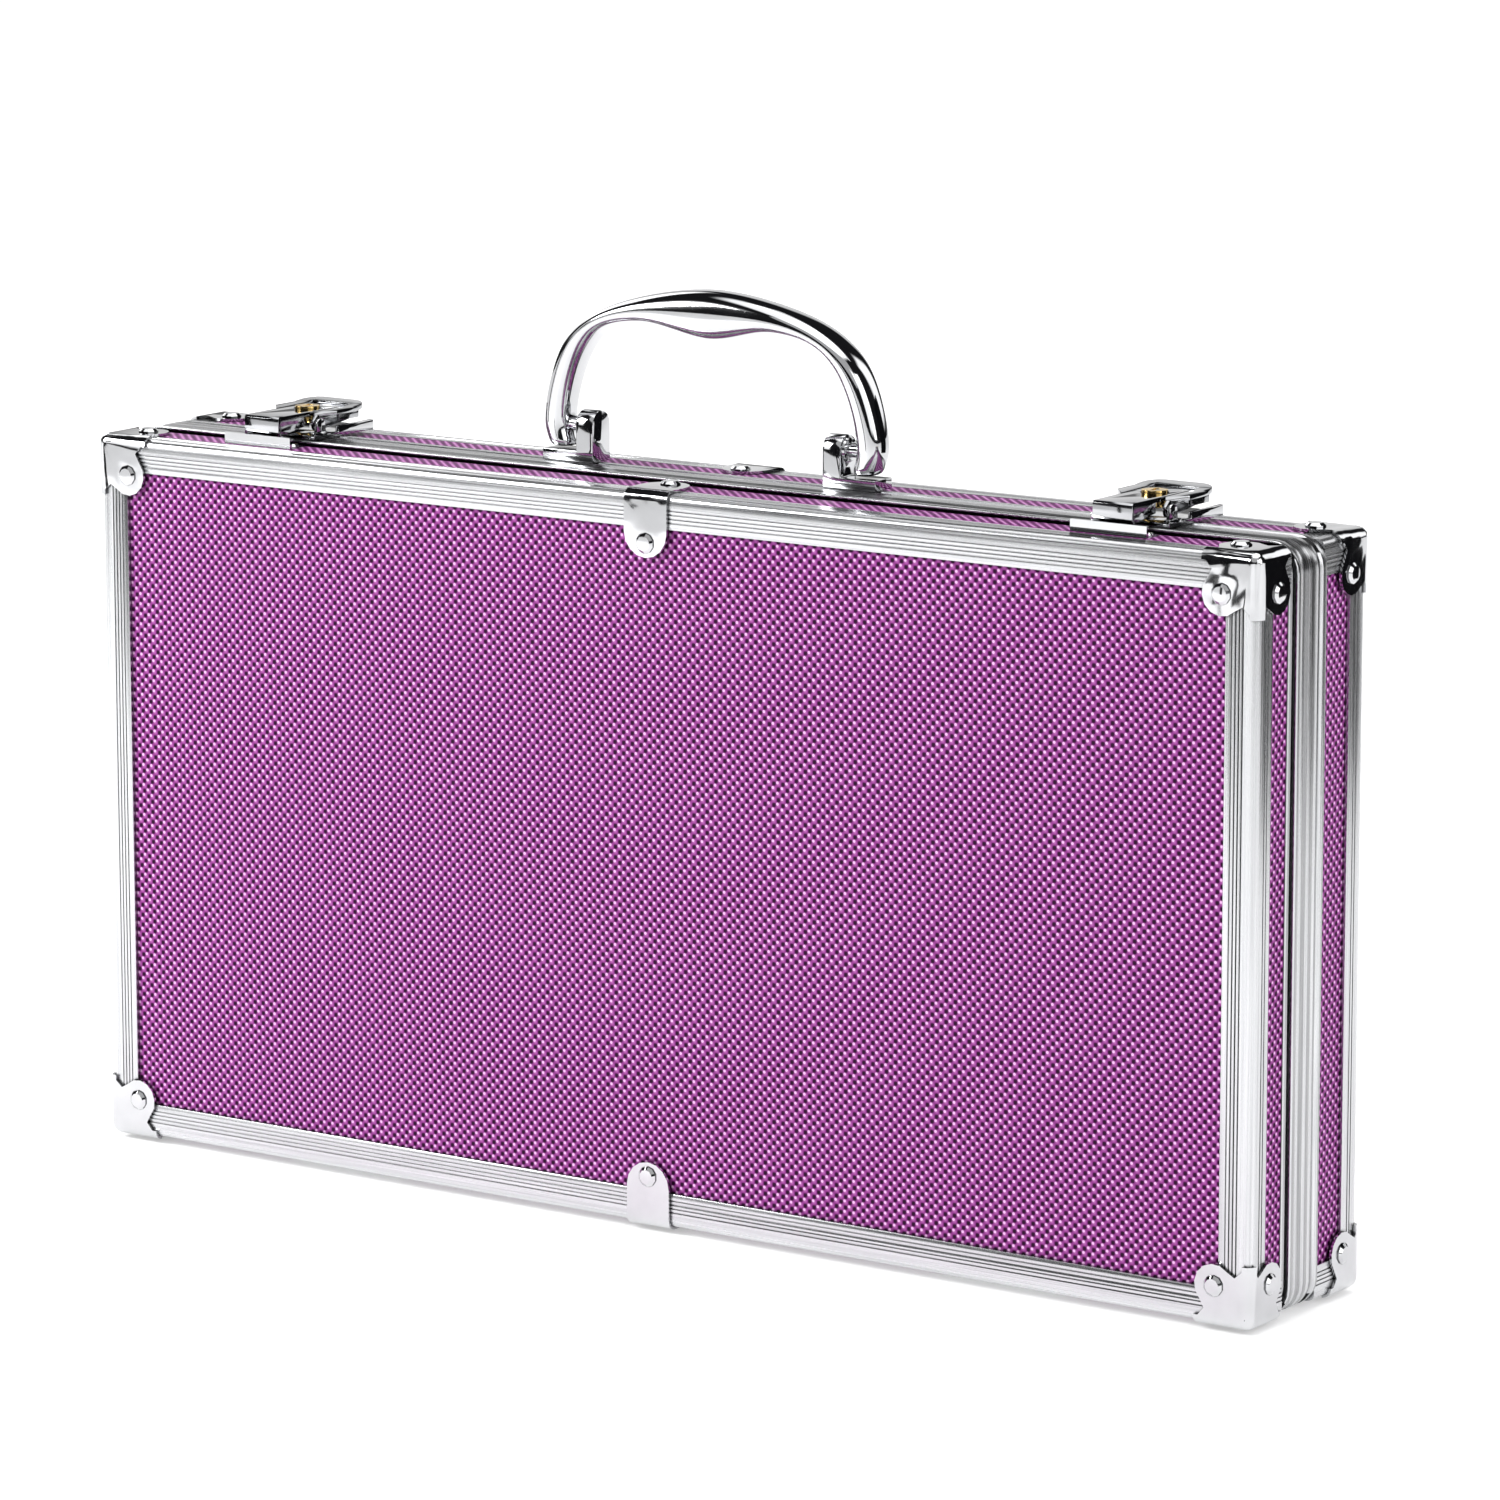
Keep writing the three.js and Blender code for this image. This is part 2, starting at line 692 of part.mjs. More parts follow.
// A cheek plate pierced or studded at a pivot, standing across the latch at both sides of it.
function cheeks(outline, inner, gauge) {
  return join([-1, 1].map((side) => {
    const span = [side * inner, side * (inner + gauge)].sort((a, b) => a - b);
    return toSolid(alongX(outline, span));
  }));
}

function latchBase() {
  const pivotY = front + leverPivot;
  const plate = boxSolid(across(baseHalf), plateY(lidDepth + rimGap + 1.2, latchEnd), [baseUnder, baseTop]);
  const ear = [
    [pivotY - 2.2, baseTop - 0.2],
    [pivotY + 2.2, baseTop - 0.2],
    ...arc(pivotY, studZ, 2, -10, 190, 6),
  ];
  const rail = (from, to, rise) => [
    [front + from, baseTop - 0.2],
    [front + to, baseTop - 0.2],
    [front + to, baseTop + rise],
    [front + from, baseTop + rise],
  ];
  const studs = [-1, 1].map((side) => {
    const span = [side * (cheekInner + 0.1), side * (earInner + 0.5)].sort((a, b) => a - b);
    return toSolid(rod(studRadius, span, pivotY, studZ));
  });
  return join([
    plate,
    cheeks(ear, earInner, cheekGauge),
    cheeks(rail(30, latchEnd, 1.7), baseHalf - latchSheet, latchSheet),
    cheeks(rail(lidDepth + rimGap + 1.2, 25, 0.8), baseHalf - latchSheet, latchSheet),
    ...studs,
  ]);
}

// Lever: a fork whose wings lie beside the hook strip and whose broad end is the finger tab.
function leverSolid() {
  const pivotY = front + leverPivot;
  const start = leverPivot - 0.4;
  const bend = leverPivot + 13;
  const plateLine = [
    [front + start, leverUnder],
    [front + bend, leverUnder],
    [front + latchEnd, leverUnder + 1],
    [front + latchEnd, leverTop + 1],
    [front + bend, leverTop],
    [front + start, leverTop],
  ];
  const plan = [
    [-cheekInner, front + start],
    [cheekInner, front + start],
    [leverHalf, front + start + 5],
    ...arc(leverHalf - tabRadius, front + latchEnd - tabRadius, tabRadius, 0, 90, 4),
    ...arc(tabRadius - leverHalf, front + latchEnd - tabRadius, tabRadius, 90, 180, 4),
    [-leverHalf, front + start + 5],
  ];
  const plate = toSolid(alongX(plateLine, across(leverHalf)));
  const outline = toSolid(alongZ(plan, [leverUnder - 2, leverTop + 2]));
  const gapEnd = hookPivot + studRadius + hookSwing;
  const gap = boxSolid(across(cheekInner), plateY(0, gapEnd), [leverUnder - 2, leverTop + 2]);
  const cheekLine = [
    ...arc(pivotY, studZ, 1.8, 180, 270, 3),
    [front + hookPivot + 1.5, hookZ - 1.6],
    [front + hookPivot + 1.8, leverUnder + 0.2],
    [pivotY, leverUnder + 0.2],
    [pivotY - 1.8, studZ + 1.2],
  ];
  const flange = [
    [front + start + 6, leverUnder - 1.6],
    [front + latchEnd - 5.5, leverUnder - 1.6],
    [front + latchEnd - 5.5, leverUnder + 0.2],
    [front + start + 6, leverUnder + 0.2],
  ];
  const bore = toSolid(rod(studRadius + boreClearance, across(leverHalf), pivotY, studZ));
  const cheekPair = cheeks(cheekLine, cheekInner, cheekGauge).subtract(bore);
  return join([
    plate.intersect(outline).subtract(gap),
    cheekPair,
    cheeks(flange, leverHalf - 1, 1),
    toSolid(rod(studRadius, across(cheekInner + 0.5), front + hookPivot, hookZ)),
  ]);
}

function lockBody(radius, from, to) {
  const geometry = new THREE.CylinderGeometry(radius, radius, to - from, 20).rotateX(Math.PI / 2);
  return toSolid(geometry.translate(0, front + lockFrom, (from + to) / 2));
}

// Hook strip: its folded nose drops behind the keeper's lip, and its rolled end turns on the lever's pin.
function hookSolid() {
  const profile = [
    [front + 10.4, studZ - 2.6],
    [front + 11.6, studZ - 2.6],
    [front + 11.6, leverUnder],
    [front + hookPivot, leverUnder],
    [front + hookPivot, leverTop],
    [front + 10.9, leverTop],
    [front + 10.4, leverTop - 0.5],
  ];
  const knuckle = toSolid(rod(studRadius + 0.9, across(hookHalf), front + hookPivot, hookZ, 16));
  const bore = toSolid(rod(studRadius + boreClearance, across(hookHalf + 1), front + hookPivot, hookZ));
  const webs = cheeks([
    [front + 11.2, studZ - 1.6],
    [front + leverPivot - 4, studZ - 0.2],
    [front + leverPivot - 4, leverUnder + 0.2],
    [front + 11.2, leverUnder + 0.2],
  ], hookHalf - cheekGauge, cheekGauge);
  const lockHole = lockBody(lockRadius + runClearance, leverUnder - 1, leverTop + 1);
  const strip = toSolid(alongX(profile, across(hookHalf)));
  return join([strip, webs, knuckle]).subtract(bore).subtract(lockHole);
}

// Lock cylinder: a domed barrel with a keyhole, and a short bolt below that turns with it.
function lockSolid() {
  const body = lockBody(lockRadius, studZ + 0.2, leverTop + 0.7);
  const boltY = plateY(lockFrom, lockFrom + lockRadius + 0.35);
  const bolt = boxSolid(across(1), boltY, [studZ - 0.6, studZ + 0.8]);
  const keyway = [leverTop - 1.6, leverTop + 2];
  const slit = boxSolid(across(0.5), plateY(lockFrom - 2.2, lockFrom + 1.4), keyway);
  const round = boxSolid(across(0.9), plateY(lockFrom + 0.4, lockFrom + 1.9), keyway);
  return body.subtract(slit).subtract(round).add(bolt);
}

// Keeper on the lid: a plate with an upturned lip, a slot for the hook and a rivet at each side.
function keeperSolid() {
  const under = top - wallOuter + seat;
  const plateTop = under + 1;
  const plate = boxSolid(across(keeperHalf), plateY(8.4, 15.8), [under, plateTop]);
  const lip = boxSolid(across(keeperHalf), plateY(8.4, 9.4), [under + 0.2, top + 3.2]);
  const bridge = boxSolid(across(hookHalf + 1), plateY(12.6, 15.8), [under + 0.2, top + 2]);
  const slot = boxSolid(across(hookHalf + 0.6), plateY(10, 12.4), [under - 1, plateTop + 1]);
  const heads = [-1, 1].map((side) => {
    const head = rivetHead(2, 1.1, 0.4).translate(side * (keeperHalf - 2.4), front + 12.4, plateTop);
    return toSolid(head);
  });
  return join([plate, lip, bridge]).subtract(slot).add(join(heads));
}

function addLatches() {
  const pieces = [
    ['latch_base', latchBase(), finish.chrome],
    ['latch_lever', leverSolid(), finish.chrome],
    ['latch_hook', hookSolid(), finish.chrome],
    ['latch_lock', lockSolid(), finish.brass],
    ['latch_keeper', keeperSolid(), finish.chrome],
  ];
  for (const [side, x] of [['left', -latchX], ['right', latchX]]) {
    for (const [name, solid, material] of pieces) {
      add(`${name}_${side}`, toGeometry(solid.translate([x, 0, 0])), material());
    }
  }
}

// ---- hinges ----

function addHinges() {
  const pitch = hingeLength / knuckles;
  const barrel = (i) => {
    const from = -hingeLength / 2 + i * pitch;
    return toSolid(rod(barrelRadius, [from + knuckleGap, from + pitch - knuckleGap], hingeY, hingeZ));
  };
  const odd = [...Array(knuckles).keys()].filter((i) => i % 2 === 1);
  const even = [...Array(knuckles).keys()].filter((i) => i % 2 === 0);
  const room = (list) => join(list.map((i) => {
    const from = -hingeLength / 2 + i * pitch;
    const reach = barrelRadius + runClearance;
    const length = [from - knuckleGap, from + pitch + knuckleGap];
    return boxSolid(length, around(hingeY, reach), around(hingeZ, reach));
  }));
  const bodyLeafBase = bottom - rimProud + seat;
  const bodyLeafZ = [bodyLeafBase, bodyLeafBase + leafGauge];
  const lidLeafZ = [bottom + wallOuter - seat - leafGauge, bottom + wallOuter - seat];
  const bodyLeaf = boxSolid(across(hingeLength / 2), [hingeY, rimFront + leafReach], bodyLeafZ);
  const lidLeaf = boxSolid(across(hingeLength / 2), [front + lidSideLeg + 0.4, hingeY], lidLeafZ);
  const pin = toSolid(rod(hingePinRadius, across(hingeLength / 2), hingeY, hingeZ, 12));
  const bore = toSolid(rod(hingePinRadius + 0.2, across(hingeLength), hingeY, hingeZ, 12));
  const rivets = (y, z) => [-1, 1].map((side) => {
    const head = rivetHead(leafRivet, 0.5, 0.3).rotateX(Math.PI).translate((side * hingeLength) / 3, y, z);
    return toSolid(head);
  });
  const bodyRivets = rivets(rimFront + 5.5, bodyLeafZ[0]);
  const body = join([bodyLeaf.subtract(room(odd)), ...even.map(barrel), pin, ...bodyRivets]);
  const lid = join([lidLeaf.subtract(room(even)), ...odd.map(barrel)]).subtract(bore)
    .add(join(rivets(front + 11, lidLeafZ[0])));
  for (const [side, x] of hingeCentres) {
    add(`hinge_body_leaf_${side}`, toGeometry(body.translate([x, 0, 0])), finish.aluminium());
    add(`hinge_lid_leaf_${side}`, toGeometry(lid.translate([x, 0, 0])), finish.aluminium());
  }
}

// ---- insert and lid pad ----

function addInsert() {
  const gap = runClearance;
  const chipPitch = 2 * chipRadius + chipWall;
  const faceY = front + insertFront;
  const backY = back - wallInner - gap;
  const channelY = Math.min(faceY, backY - insertFloor - chipRadius);
  const halfX = width / 2 - wallInner - gap;
  const halfZ = height / 2 - wallInner - gap;
  const halfLength = halfZ - insertWall;
  // Round enough at its corners to clear the posts
  const corner = (rimRadius + seat + gap - (wallInner + gap)) / (1 - Math.SQRT1_2) + gap;
  const outline = roundedRect(halfX, halfZ, corner, 3).map(([x, z]) => [x, z + middle]);
  let block = toSolid(alongY(outline, [faceY, backY]));
  const rows = Math.floor((halfX - bayHalf - 2 * insertWall - chipRadius * 2) / chipPitch) + 1;
  for (const side of [-1, 1]) {
    for (let i = 0; i < rows; i += 1) {
      const x = side * (bayHalf + insertWall + chipRadius + i * chipPitch);
      const channel = new THREE.CylinderGeometry(chipRadius, chipRadius, 2 * halfLength, 28);
      channel.rotateX(Math.PI / 2).translate(x, channelY, middle);
      block = block.subtract(toSolid(channel));
    }
  }
  const bay = boxSolid(across(bayHalf), [faceY - 1, backY + 1], around(middle, halfLength));
  add('chip_insert', toGeometry(block.subtract(bay)), finish.foam());

  let tray = boxSolid(across(bayHalf - gap), [faceY, backY], around(middle, halfLength - gap));
  const stack = wells.reduce((sum, well) => sum + well.height + insertWall, insertWall);
  const spare = Math.max(0, (2 * (halfLength - gap) - stack) / (wells.length + 1));
  let level = middle + halfLength - gap - insertWall - spare;
  for (const well of wells) {
    const low = level - well.height;
    if (low > middle - halfLength + gap + 1) {
      tray = tray.subtract(boxSolid(across(well.width / 2), [faceY - 1, faceY + well.depth], [low, level]));
    }
    level = low - insertWall - spare;
  }
  add('accessory_tray', toGeometry(tray), finish.foam());
}

function addLidPad() {
  const halfX = width / 2 - rimRadius - wallInner;
  const halfZ = height / 2 - rimRadius - wallInner;
  const from = front + wallInner + seat;
  const outline = roundedRect(halfX, halfZ, 4, 3).map(([x, z]) => [x, z + middle]);
  add('lid_pad', alongY(outline, [from, from + lidPad]), finish.foam());
}

// ---- assembly ----

const cap = capGeometry();
const clip = clipGeometry();
const rooms = hingeRooms();
addShellBoards('lid', [front + wallOuter, front + wallInner],
  [front + wallInner + seat, front + lidDepth], rooms);
addEdging('lid', front, 1, lidSideLeg);
addPosts('lid', [front + lidSideLeg + seat, front + lidDepth]);
addSeal();
addCaps('lid', front, 1, cap);
addClips('lid', front, 1, clip);
addLidPad();
addShellBoards('body', [back - wallInner, back - wallOuter],
  [rimFront + rimWeb + seat, back - wallInner - seat], rooms);
addEdging('body', back, -1, bodySideLeg);
addPosts('body', [rimBack + seat, back - bodySideLeg - seat]);
addRim();
addCaps('body', back, -1, cap);
addClips('body', back, -1, clip);
addBrackets();
addHandle();
addLatches();
addHinges();
addInsert();

export default part;
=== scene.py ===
"""Looks of the poker chip case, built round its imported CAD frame. Metres, +Z up, case on the floor."""
import math

import bmesh
import bpy
from mathutils import Euler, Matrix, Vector


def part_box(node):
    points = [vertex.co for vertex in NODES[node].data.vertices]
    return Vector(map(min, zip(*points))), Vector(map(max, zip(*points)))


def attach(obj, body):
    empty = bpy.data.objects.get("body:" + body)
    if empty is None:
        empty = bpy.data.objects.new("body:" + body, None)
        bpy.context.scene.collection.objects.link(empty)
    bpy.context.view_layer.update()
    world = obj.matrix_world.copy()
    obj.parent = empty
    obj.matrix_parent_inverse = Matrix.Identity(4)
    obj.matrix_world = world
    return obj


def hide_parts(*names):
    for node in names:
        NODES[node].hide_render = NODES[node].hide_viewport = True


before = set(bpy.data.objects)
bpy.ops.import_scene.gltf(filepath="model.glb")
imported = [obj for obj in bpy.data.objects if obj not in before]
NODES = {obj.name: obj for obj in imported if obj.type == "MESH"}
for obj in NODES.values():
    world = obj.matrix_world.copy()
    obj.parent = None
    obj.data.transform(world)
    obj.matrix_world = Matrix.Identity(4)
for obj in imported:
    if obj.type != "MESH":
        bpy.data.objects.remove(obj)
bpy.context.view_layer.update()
MM = 0.001

# Camera, fitted to the corners of the case in the photograph.
LENS = 167.6
SENSOR = 36.0
CAMERA_PLACE = (1.0767, -1.5313, 0.4869)
AZIMUTH, ELEVATION, ROLL = (math.radians(a) for a in (34.734, 10.806, 0.076))

# Lights: name, place, size and power of each softbox, all aimed at the middle of the case.
AIM = (0, 0, 0.12)
SOFTBOXES = (
    ("key_softbox", (-0.95, -0.80, 0.8), (0.5, 0.5), 13),
    ("side_softbox", (2.3, -0.1, 1.1), (0.9, 1.7), 12),
    ("top_softbox", (0.1, 0.5, 2.2), (2.0, 1.2), 9),
    ("back_softbox", (-2.3, 1.1, 1.7), (1.2, 1.2), 6),
)
SUN_ENERGY = 0.62
SUN_SPREAD = math.radians(70)
SUN_FROM = (0.20, -0.62, 0.76)
# Black cards: name, place on the floor and width of each.
FLAGS = (
    ("flag_right", (0.70, 0.72, 0.0), 0.42),
    ("flag_left", (-0.98, -0.62, 0.0), 0.16),
    ("flag_front", (-0.36, -1.05, 0.0), 0.07),
)
FLAG_HEIGHT = 0.5

# Room seen in reflections: upright strips by bearing, in radians, and how far up they reach.
WORLD_STRENGTH = 1.7
WORLD_STRIPS = ((-2.75, -2.25), (-0.75, -0.2), (0.95, 1.35), (2.35, 2.75))
STRIP_REACH = (0.08, 0.62)
CEILING_REACH = (0.86, 2.0)
WALL_BEARING = (1.75, 2.3)
WALL_REACH = (0.03, 0.4)
WALL_SHARE = 0.5

FLOOR_HALF = 14.0
FLOOR_GLOW = 0.36

# Form: vertices closer than this are one, and edges sharper than these are shaded or eased as edges.
WELD_GAP = 0.002 * MM
SHADE_ANGLE = math.radians(34)
EASE_ANGLE = math.radians(38)

# Places on the case, in millimetres.
TOP = 204.1
MIDDLE = 103.1
PIVOT_Z = 215.5
PIN_RADIUS = 2
HANDLE_Y = 4.3
HANDLE_HALF = 55.4
HANDLE_RISE = 51.3
HANDLE_STATIONS = 160
HANDLE_FACETS = 44
LEG_DEPTH = 9
GRIP_SWELL = 4
STRIP_HALF = 180.0
STRIP_RISE = 1.1
LID_STRIP = (-19.9, -11.3)
BODY_STRIP = (5.6, 18.8)
RIM_PITCH = 3.3
# Painted shadow under the rim's front edge: from this height above or below the middle to this far past the
# top.
RIM_SHADOW_FROM = 98.0
RIM_SHADOW_PAST = 0.5

EMBOSS_PITCH = 2.9 * MM


# ---- camera and light ----

def set_camera():
    data = bpy.data.cameras.new("camera")
    data.lens = LENS
    data.sensor_width = SENSOR
    data.clip_end = 50.0
    camera = bpy.data.objects.new("camera", data)
    bpy.context.scene.collection.objects.link(camera)
    camera.location = CAMERA_PLACE
    camera.rotation_euler = Euler((math.pi / 2 - ELEVATION, ROLL, AZIMUTH), "XYZ")
    bpy.context.scene.camera = camera


def area_light(name, place, size, power):
    data = bpy.data.lights.new(name, "AREA")
    data.shape = "RECTANGLE"
    data.size, data.size_y = size
    data.energy = power
    light = bpy.data.objects.new(name, data)
    bpy.context.scene.collection.objects.link(light)
    light.location = place
    light.rotation_euler = (Vector(AIM) - Vector(place)).to_track_quat("-Z", "Y").to_euler()


def add_flag(name, place, width):
    """A black card beside the set. Only reflections see it: it darkens plated parts and shades nothing."""
    mesh = bpy.data.meshes.new(name)
    half = width / 2
    corners = [(-half, 0, 0), (half, 0, 0), (half, 0, FLAG_HEIGHT), (-half, 0, FLAG_HEIGHT)]
    mesh.from_pydata(corners, [], [(0, 1, 2, 3)])
    flag = bpy.data.objects.new(name, mesh)
    bpy.context.scene.collection.objects.link(flag)
    flag.location = place
    flag.rotation_euler = (0, 0, math.atan2(place[1], place[0]) + math.pi / 2)
    flag.visible_camera = False
    flag.visible_diffuse = False
    flag.visible_shadow = False
    flag.visible_transmission = False
    material, shader, _ = new_material(name)
    shader.inputs["Base Color"].default_value = (0.006, 0.006, 0.007, 1)
    shader.inputs["Roughness"].default_value = 1.0
    shader.inputs["Specular IOR Level"].default_value = 0.0
    mesh.materials.append(material)


def band(tree, value, low, high, soft):
    """1 where value lies between low and high, falling smoothly to 0 outside."""
    rise = tree.nodes.new("ShaderNodeMapRange")
    rise.interpolation_type = "SMOOTHSTEP"
    rise.inputs["From Min"].default_value = low - soft
    rise.inputs["From Max"].default_value = low + soft
    tree.links.new(value, rise.inputs["Value"])
    fall = tree.nodes.new("ShaderNodeMapRange")
    fall.interpolation_type = "SMOOTHSTEP"
    fall.inputs["From Min"].default_value = high - soft
    fall.inputs["From Max"].default_value = high + soft
    fall.inputs["To Min"].default_value = 1.0
    fall.inputs["To Max"].default_value = 0.0
    tree.links.new(value, fall.inputs["Value"])
    return math_node(tree, "MULTIPLY", rise.outputs[0], fall.outputs[0])


def set_world():
    """A dim room with bright strips of light, which the plated parts pick up as black and white streaks."""
    world = bpy.data.worlds.new("studio")
    bpy.context.scene.world = world
    world.use_nodes = True
    tree = world.node_tree
    background = tree.nodes["Background"]
    coords = tree.nodes.new("ShaderNodeTexCoord")
    split = tree.nodes.new("ShaderNodeSeparateXYZ")
    tree.links.new(coords.outputs["Generated"], split.inputs[0])
    turn = math_node(tree, "ARCTAN2", split.outputs["Y"], split.outputs["X"])
    walls = None
    for low, high in WORLD_STRIPS:
        strip = band(tree, turn, low, high, 0.06)
        walls = strip if walls is None else math_node(tree, "MAXIMUM", walls, strip)
    lit = math_node(tree, "MULTIPLY", walls, band(tree, split.outputs["Z"], *STRIP_REACH, 0.05))
    ceiling = band(tree, split.outputs["Z"], *CEILING_REACH, 0.03)
    beside = band(tree, turn, *WALL_BEARING, 0.08)
    wall = math_node(tree, "MULTIPLY", beside, band(tree, split.outputs["Z"], *WALL_REACH, 0.04))
    bright = math_node(tree, "MAXIMUM", lit, ceiling)
    total = math_node(tree, "MAXIMUM", bright, math_node(tree, "MULTIPLY", wall, WALL_SHARE))
    colour = ramp_of(tree, total, [(0.0, (0.008, 0.008, 0.009)), (1.0, (1.0, 1.0, 1.0))])
    tree.links.new(colour, background.inputs["Color"])
    background.inputs["Strength"].default_value = WORLD_STRENGTH


def set_light():
    for name, place, size, power in SOFTBOXES:
        area_light(name, place, size, power)
    sun = bpy.data.lights.new("key_sun", "SUN")
    sun.energy = SUN_ENERGY
    sun.angle = SUN_SPREAD
    lamp = bpy.data.objects.new("key_sun", sun)
    lamp.rotation_euler = Vector(SUN_FROM).to_track_quat("Z", "Y").to_euler()
    bpy.context.scene.collection.objects.link(lamp)
    for name, place, width in FLAGS:
        add_flag(name, place, width)
    set_world()
    bpy.context.scene.view_settings.view_transform = "Standard"


def set_floor():
    mesh = bpy.data.meshes.new("floor")
    half = FLOOR_HALF
    corners = [(-half, -half, 0), (half, -half, 0), (half, half, 0), (-half, half, 0)]
    mesh.from_pydata(corners, [], [(0, 1, 2, 3)])
    floor = bpy.data.objects.new("floor", mesh)
    bpy.context.scene.collection.objects.link(floor)
    material, shader, _ = new_material("floor_paper")
    shader.inputs["Base Color"].default_value = (0.9, 0.9, 0.9, 1)
    shader.inputs["Roughness"].default_value = 0.9
    shader.inputs["Specular IOR Level"].default_value = 0.1
    shader.inputs["Emission Color"].default_value = (1, 1, 1, 1)
    shader.inputs["Emission Strength"].default_value = FLOOR_GLOW
    mesh.materials.append(material)


# ---- node helpers ----

def new_material(name):
    material = bpy.data.materials.new(name)
    material.use_nodes = True
    tree = material.node_tree
    return material, tree.nodes["Principled BSDF"], tree


def math_node(tree, operation, a, b=None):
    node = tree.nodes.new("ShaderNodeMath")
    node.operation = operation
    for socket, value in zip(node.inputs, (a, b)):
        if value is None:
            continue
        if isinstance(value, (int, float)):
            socket.default_value = value
        else:
            tree.links.new(value, socket)
    return node.outputs[0]


def object_axes(tree):
    coords = tree.nodes.new("ShaderNodeTexCoord")
    split = tree.nodes.new("ShaderNodeSeparateXYZ")
    tree.links.new(coords.outputs["Object"], split.inputs[0])
    return coords, split


def noise(tree, coords, scale, detail=3.0, stretch=(1, 1, 1)):
    mapping = tree.nodes.new("ShaderNodeMapping")
    mapping.inputs["Scale"].default_value = stretch
    texture = tree.nodes.new("ShaderNodeTexNoise")
    texture.inputs["Scale"].default_value = scale
    texture.inputs["Detail"].default_value = detail
    tree.links.new(coords.outputs["Object"], mapping.inputs[0])
    tree.links.new(mapping.outputs[0], texture.inputs["Vector"])
    return texture.outputs["Fac"]


def ramp_of(tree, value, stops):
    ramp = tree.nodes.new("ShaderNodeValToRGB")
    elements = ramp.color_ramp.elements
    while len(elements) < len(stops):
        elements.new(0.5)
    for element, (position, colour) in zip(elements, stops):
        element.position = position
        element.color = (*colour, 1)
    tree.links.new(value, ramp.inputs[0])
    return ramp.outputs[0]


def multiply(tree, a, b):
    node = tree.nodes.new("ShaderNodeMix")
    node.data_type = "RGBA"
    node.blend_type = "MULTIPLY"
    node.inputs[0].default_value = 1.0
    tree.links.new(a, node.inputs[6])
    tree.links.new(b, node.inputs[7])
    return node.outputs[2]


def mix_to(tree, factor, a, colour):
    node = tree.nodes.new("ShaderNodeMix")
    node.data_type = "RGBA"
    tree.links.new(factor, node.inputs[0])
    tree.links.new(a, node.inputs[6])
    node.inputs[7].default_value = (*colour, 1)
    return node.outputs[2]


def painted_crevice_shade(tree, colour, distance, darkest):
    """colour, darkened by painted shade where grooves and seams are, from ambient occlusion."""
    shade = tree.nodes.new("ShaderNodeAmbientOcclusion")
    shade.samples = 8
    shade.inputs["Distance"].default_value = distance
    ramp = ramp_of(tree, shade.outputs["AO"], [(0.30, (darkest,) * 3), (0.86, (1.0, 1.0, 1.0))])
    return multiply(tree, colour, ramp)


def bump(tree, shader, height, strength, distance):
    node = tree.nodes.new("ShaderNodeBump")
    node.inputs["Strength"].default_value = strength
    node.inputs["Distance"].default_value = distance
    tree.links.new(height, node.inputs["Height"])
    tree.links.new(node.outputs[0], shader.inputs["Normal"])


# ---- form ----

def smoothing_group():
    """Welds a mesh and shades it smooth except across its sharp edges."""
    group = bpy.data.node_groups.new("smooth_by_angle", "GeometryNodeTree")
    group.interface.new_socket("Geometry", in_out="INPUT", socket_type="NodeSocketGeometry")
    group.interface.new_socket("Geometry", in_out="OUTPUT", socket_type="NodeSocketGeometry")
    start = group.nodes.new("NodeGroupInput")
    end = group.nodes.new("NodeGroupOutput")
    weld = group.nodes.new("GeometryNodeMergeByDistance")
    weld.inputs["Distance"].default_value = WELD_GAP
    faces = group.nodes.new("GeometryNodeSetShadeSmooth")
    edges = group.nodes.new("GeometryNodeSetShadeSmooth")
    edges.domain = "EDGE"
    edges.inputs["Shade Smooth"].default_value = False
    angle = group.nodes.new("GeometryNodeInputMeshEdgeAngle")
    sharp = group.nodes.new("FunctionNodeCompare")
    sharp.operation = "GREATER_THAN"
    sharp.inputs[1].default_value = SHADE_ANGLE
    group.links.new(start.outputs[0], weld.inputs["Geometry"])
    group.links.new(weld.outputs[0], faces.inputs["Geometry"])
    group.links.new(faces.outputs[0], edges.inputs["Geometry"])
    group.links.new(angle.outputs["Unsigned Angle"], sharp.inputs[0])
    group.links.new(sharp.outputs[0], edges.inputs["Selection"])
    group.links.new(edges.outputs[0], end.inputs[0])
    return group


SMOOTH = smoothing_group()


def soften(node, width=0.0):
    """Rounds a piece's hard edges by width, in metres, and smooths its shading."""
    weld = node.modifiers.new("weld", "WELD")
    weld.merge_threshold = WELD_GAP
    if width:
        edge = node.modifiers.new("eased_edges", "BEVEL")
        edge.width = width
        edge.segments = 2
        edge.limit_method = "ANGLE"
        edge.angle_limit = EASE_ANGLE
        edge.harden_normals = False
    node.modifiers.new("smoothing", "NODES").node_group = SMOOTH


def spline(points, t):
    """A centripetal Catmull-Rom curve through points, at t from 0 to 1."""
    spans = len(points) - 1
    place = min(t * spans, spans - 1e-9)
    i = int(place)
    u = place - i
    inner = [points[i], points[i + 1]]
    before = points[i - 1] if i else inner[0] * 2 - inner[1]
    after = points[i + 2] if i + 2 <= spans else inner[1] * 2 - inner[0]
    knots = [before, *inner, after]
    d0, d1, d2 = (max((b - a).length ** 0.5, 1e-9) for a, b in zip(knots, knots[1:]))
    p0, p1, p2, p3 = knots
    t1 = ((p1 - p0) / d0 - (p2 - p0) / (d0 + d1) + (p2 - p1) / d1) * d1
    t2 = ((p2 - p1) / d1 - (p3 - p1) / (d1 + d2) + (p3 - p2) / d2) * d1
    start = p1 * (2 * u**3 - 3 * u**2 + 1) + t1 * (u**3 - 2 * u**2 + u)
    return start + p2 * (3 * u**2 - 2 * u**3) + t2 * (u**3 - u**2)


